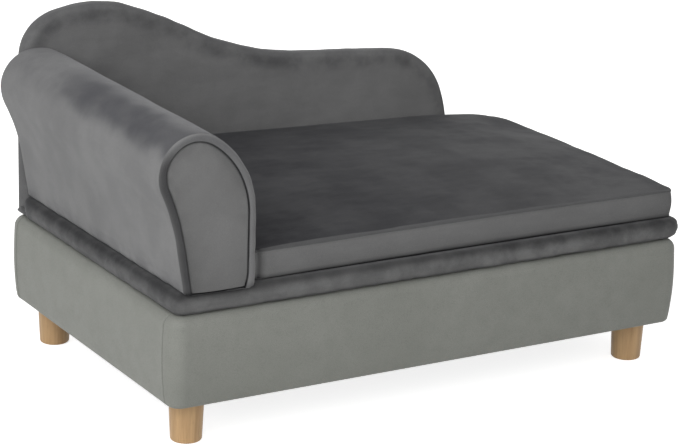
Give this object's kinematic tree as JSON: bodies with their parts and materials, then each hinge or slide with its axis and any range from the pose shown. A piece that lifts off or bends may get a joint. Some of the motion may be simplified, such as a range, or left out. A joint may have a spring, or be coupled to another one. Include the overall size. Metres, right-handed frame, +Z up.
{
  "type": "dog sofa bed",
  "caption": "Small upholstered chaise for a dog: padded storage box on tapered wooden legs, hinged lid with scroll arm and wave back, loose boxed cushion.",
  "frame": {"origin": "on the floor, under the middle of the whole object's box", "axes": "+X along the sofa away from the arm, +Y towards the back, +Z up"},
  "size_m": [0.7693, 0.483, 0.4518],
  "materials": {
    "panel_board": "raw board",
    "softwood": "raw pine",
    "leg_wood": "clear satin lacquer",
    "foam": "foam",
    "leatherette": "smooth, soft sheen",
    "velvet_lid": "short velvet pile",
    "velvet_arm": "short velvet pile",
    "velvet_facing": "short velvet pile",
    "velvet_back": "short velvet pile",
    "velvet_cushion": "short velvet pile",
    "lining_cloth": "non-woven cloth",
    "zip_tape": "woven tape with moulded teeth",
    "zip_metal": "black lacquer",
    "zinc_steel": "zinc plated",
    "screw_steel": "zinc plated"
  },
  "bodies": {
    "base": {"base_front_panel": "panel_board", "base_rear_panel": "panel_board", "base_left_panel": "panel_board", "base_right_panel": "panel_board", "base_bottom_board": "panel_board", "corner_blocks": "softwood", "base_padding": "foam", "base_cover": "leatherette", "storage_lining": "lining_cloth", "dust_cover": "lining_cloth", "leg_front_left": "leg_wood", "leg_front_right": "leg_wood", "leg_rear_left": "leg_wood", "leg_rear_right": "leg_wood", "leg_bolts": "zinc_steel", "leg_tee_nuts": "zinc_steel", "hinge_base_leaf_left": "zinc_steel", "hinge_base_leaf_right": "zinc_steel", "hinge_pin_left": "zinc_steel", "hinge_pin_right": "zinc_steel", "hinge_base_screws": "screw_steel", "stay_base_bracket_left": "zinc_steel", "stay_base_bracket_right": "zinc_steel", "stay_base_screws": "screw_steel"},
    "lid": {"lid_board": "panel_board", "lid_padding": "foam", "lid_cover": "velvet_lid", "lid_underlining": "lining_cloth", "hinge_lid_leaf_left": "zinc_steel", "hinge_lid_leaf_right": "zinc_steel", "hinge_lid_screws": "screw_steel", "stay_lid_bracket_left": "zinc_steel", "stay_lid_bracket_right": "zinc_steel", "stay_lid_screws": "screw_steel", "arm_front_board": "panel_board", "arm_rear_board": "panel_board", "arm_base_board": "panel_board", "arm_rails": "softwood", "arm_padding": "foam", "arm_cover": "velvet_arm", "arm_front_facing": "velvet_facing", "arm_screws": "screw_steel", "back_board": "panel_board", "back_padding": "foam", "back_cover": "velvet_back", "back_screws": "screw_steel"},
    "lower_stay_left": {"stay_lower_arm_left": "zinc_steel", "stay_rivet_left": "zinc_steel"},
    "lower_stay_right": {"stay_lower_arm_right": "zinc_steel", "stay_rivet_right": "zinc_steel"},
    "upper_stay_left": {"stay_upper_arm_left": "zinc_steel"},
    "upper_stay_right": {"stay_upper_arm_right": "zinc_steel"},
    "cushion": {"cushion_foam": "foam", "cushion_cover": "velvet_cushion", "cushion_zip": "zip_tape"},
    "zip_pull": {"zip_slider": "zip_metal"}
  },
  "joints": [
    {"name": "lid_hinge", "type": "hinge", "parent": "base", "child": "lid", "pos_m": [0.00967, 0.2385, 0.17125], "axis": [-1, 0, 0], "range_deg": [0, 75]},
    {"name": "stay_base_pivot_left", "type": "hinge", "parent": "base", "child": "lower_stay_left", "pos_m": [-0.33733, 0.09755, 0.11995], "axis": [-1, 0, 0], "range_deg": [0, 75]},
    {"name": "stay_lid_pivot_left", "type": "hinge", "parent": "lid", "child": "upper_stay_left", "pos_m": [-0.33733, 0.08907, 0.15818], "axis": [-1, 0, 0], "range_deg": [-75, 0]},
    {"name": "stay_base_pivot_right", "type": "hinge", "parent": "base", "child": "lower_stay_right", "pos_m": [0.35667, 0.09755, 0.11995], "axis": [-1, 0, 0], "range_deg": [0, 75]},
    {"name": "stay_lid_pivot_right", "type": "hinge", "parent": "lid", "child": "upper_stay_right", "pos_m": [0.35667, 0.08907, 0.15818], "axis": [-1, 0, 0], "range_deg": [-75, 0]},
    {"name": "cushion_lift", "type": "slide", "parent": "lid", "child": "cushion", "axis": [0, 0, 1], "range_m": [0, 0.1]},
    {"name": "zip_slide", "type": "slide", "parent": "cushion", "child": "zip_pull", "axis": [1, 0, 0], "range_m": [0, 0.4]}
  ],
  "couplings": [
    {"joint": "stay_base_pivot_left", "follows": "lid_hinge", "ratio": 1},
    {"joint": "stay_lid_pivot_left", "follows": "lid_hinge", "ratio": -1},
    {"joint": "stay_base_pivot_right", "follows": "lid_hinge", "ratio": 1},
    {"joint": "stay_lid_pivot_right", "follows": "lid_hinge", "ratio": -1}
  ]
}
